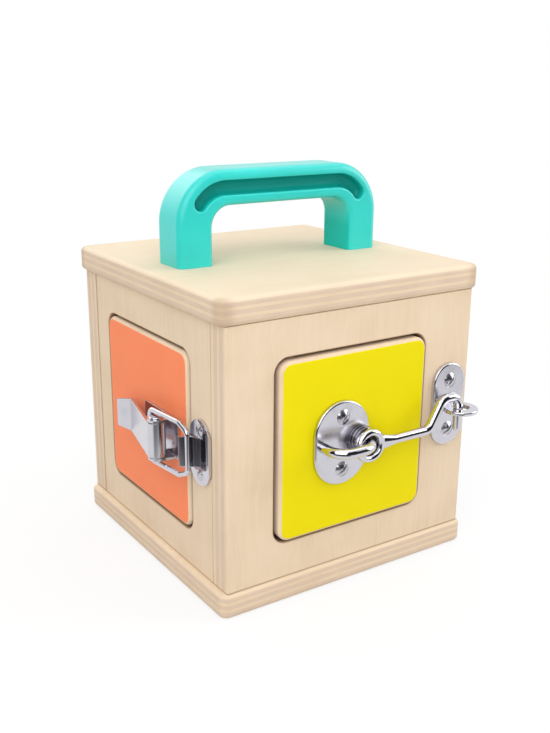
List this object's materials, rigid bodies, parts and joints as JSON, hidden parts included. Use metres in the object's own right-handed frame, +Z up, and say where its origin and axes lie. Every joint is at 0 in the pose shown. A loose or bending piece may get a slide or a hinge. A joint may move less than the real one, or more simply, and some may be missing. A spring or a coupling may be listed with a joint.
{
  "type": "wooden lock box",
  "caption": "Plywood box with a carrying handle and, on each side, a painted door held by a different latch that a child can work.",
  "frame": {"origin": "centre of the base board's underside", "axes": "+Z up, -Y out of the side with the cabin hook, -X out of the side with the toggle latch"},
  "size_m": [0.1587, 0.1828, 0.19],
  "materials": {
    "birch_plywood": "satin, lightly lacquered",
    "beech_dowel": "raw",
    "yellow_paint": "plywood with an even yellow paint on its outer face",
    "orange_paint": "plywood with an even orange paint on its outer face",
    "green_paint": "plywood with an even green paint on its outer face",
    "blue_paint": "plywood with an even blue paint on its outer face",
    "teal_plastic": "moulded, satin",
    "steel": "plain",
    "chrome": "polished"
  },
  "bodies": {
    "case": {"base_board": "birch_plywood", "top_board": "birch_plywood", "front_panel": "birch_plywood", "left_panel": "birch_plywood", "back_panel": "birch_plywood", "right_panel": "birch_plywood", "dowels": "beech_dowel", "handle": "teal_plastic", "handle_screws": "steel", "handle_washers": "steel", "hook_keeper_plate": "chrome", "hook_keeper_eye": "chrome", "hook_keeper_screws": "chrome", "toggle_strike": "chrome", "toggle_strike_screws": "chrome", "bolt_keeper": "chrome", "bolt_keeper_screws": "chrome", "knob_plate": "chrome", "knob_plate_screws": "chrome"},
    "front_door": {"front_door": "yellow_paint", "front_hinge_pins": "steel", "hook_plate": "chrome", "hook_staple": "chrome", "hook_washers": "chrome", "hook_plate_screws": "chrome"},
    "hook": {"hook": "chrome"},
    "left_door": {"left_door": "orange_paint", "left_hinge_pins": "steel", "toggle_base": "chrome", "toggle_rivet": "chrome", "toggle_base_screws": "chrome"},
    "toggle_lever": {"toggle_lever": "chrome"},
    "toggle_loop": {"toggle_loop": "chrome"},
    "back_door": {"back_door": "green_paint", "back_hinge_pins": "steel", "bolt_plate": "chrome", "bolt_guides": "chrome", "bolt_plate_screws": "chrome"},
    "bolt": {"bolt_rod": "chrome", "bolt_knob": "chrome"},
    "right_door": {"right_door": "blue_paint", "right_hinge_pins": "steel", "hasp_leaf": "chrome", "hasp_pin": "steel", "hasp_leaf_screws": "chrome"},
    "hasp_strap": {"hasp_strap": "chrome"},
    "turn_knob": {"turn_knob": "chrome"}
  },
  "joints": [
    {"name": "front_door_hinge", "type": "hinge", "parent": "case", "child": "front_door", "pos_m": [-0.03514, -0.0675, 0.073], "axis": [0, 0, -1], "range_deg": [0, 100]},
    {"name": "left_door_hinge", "type": "hinge", "parent": "case", "child": "left_door", "pos_m": [-0.0655, 0.03514, 0.073], "axis": [0, 0, -1], "range_deg": [0, 100]},
    {"name": "back_door_hinge", "type": "hinge", "parent": "case", "child": "back_door", "pos_m": [0.03514, 0.0675, 0.073], "axis": [0, 0, -1], "range_deg": [0, 100]},
    {"name": "right_door_hinge", "type": "hinge", "parent": "case", "child": "right_door", "pos_m": [0.0655, -0.03514, 0.073], "axis": [0, 0, -1], "range_deg": [0, 100]},
    {"name": "hook_swing", "type": "hinge", "parent": "front_door", "child": "hook", "pos_m": [0.0002, -0.0812, 0.073], "axis": [0, -1, 0], "range_deg": [0, 100]},
    {"name": "toggle_lever_pivot", "type": "hinge", "parent": "left_door", "child": "toggle_lever", "pos_m": [-0.0785, -0.025, 0.073], "axis": [0, 0, 1], "range_deg": [0, 150]},
    {"name": "toggle_loop_pivot", "type": "hinge", "parent": "toggle_lever", "child": "toggle_loop", "pos_m": [-0.0783, -0.019, 0.073], "axis": [0, 0, 1], "range_deg": [-180, 0]},
    {"name": "bolt_slide", "type": "slide", "parent": "back_door", "child": "bolt", "axis": [1, 0, 0], "range_m": [0, 0.017]},
    {"name": "hasp_strap_hinge", "type": "hinge", "parent": "right_door", "child": "hasp_strap", "pos_m": [0.0724, 0.0295, 0.073], "axis": [0, 0, -1], "range_deg": [0, 150]},
    {"name": "turn_knob_turn", "type": "hinge", "parent": "case", "child": "turn_knob", "pos_m": [0.0738, 0.051, 0.073], "axis": [1, 0, 0], "range_deg": [0, 90]}
  ],
  "couplings": [
    {"joint": "toggle_loop_pivot", "follows": "toggle_lever_pivot", "ratio": -1.2}
  ]
}
